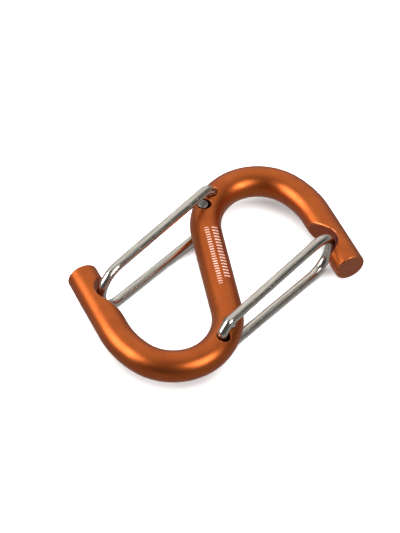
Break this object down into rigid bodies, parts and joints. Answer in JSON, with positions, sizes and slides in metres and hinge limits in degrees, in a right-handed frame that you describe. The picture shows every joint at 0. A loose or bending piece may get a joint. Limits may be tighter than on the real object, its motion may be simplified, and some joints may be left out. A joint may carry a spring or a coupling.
{
  "type": "s-shaped double carabiner",
  "caption": "S-shaped key carabiner bent from one round bar, with a sprung wire gate closing each of its opposed hooks.",
  "frame": {"origin": "middle of the S, halfway through its thickness", "axes": "+Y up the S towards the top hook, +X towards the top hook's tip, +Z through the thickness towards the face that shows"},
  "size_m": [0.0556, 0.0706, 0.0158],
  "materials": {
    "orange_anodised_aluminium": "satin orange anodised",
    "stainless_wire": "bright drawn wire"
  },
  "bodies": {
    "bar": {"s_bar": "orange_anodised_aluminium"},
    "top_gate": {"top_gate_wire": "stainless_wire"},
    "bottom_gate": {"bottom_gate_wire": "stainless_wire"}
  },
  "joints": [
    {"name": "top_gate_hinge", "type": "hinge", "parent": "bar", "child": "top_gate", "pos_m": [0.02009, -0.00697, 0], "axis": [0, 0, 1], "range_deg": [0, 19], "stiffness_Nm_per_rad": 0.2, "springref_deg": -8.59},
    {"name": "bottom_gate_hinge", "type": "hinge", "parent": "bar", "child": "bottom_gate", "pos_m": [-0.02009, 0.00697, 0], "axis": [0, 0, 1], "range_deg": [0, 19], "stiffness_Nm_per_rad": 0.2, "springref_deg": -8.59}
  ]
}
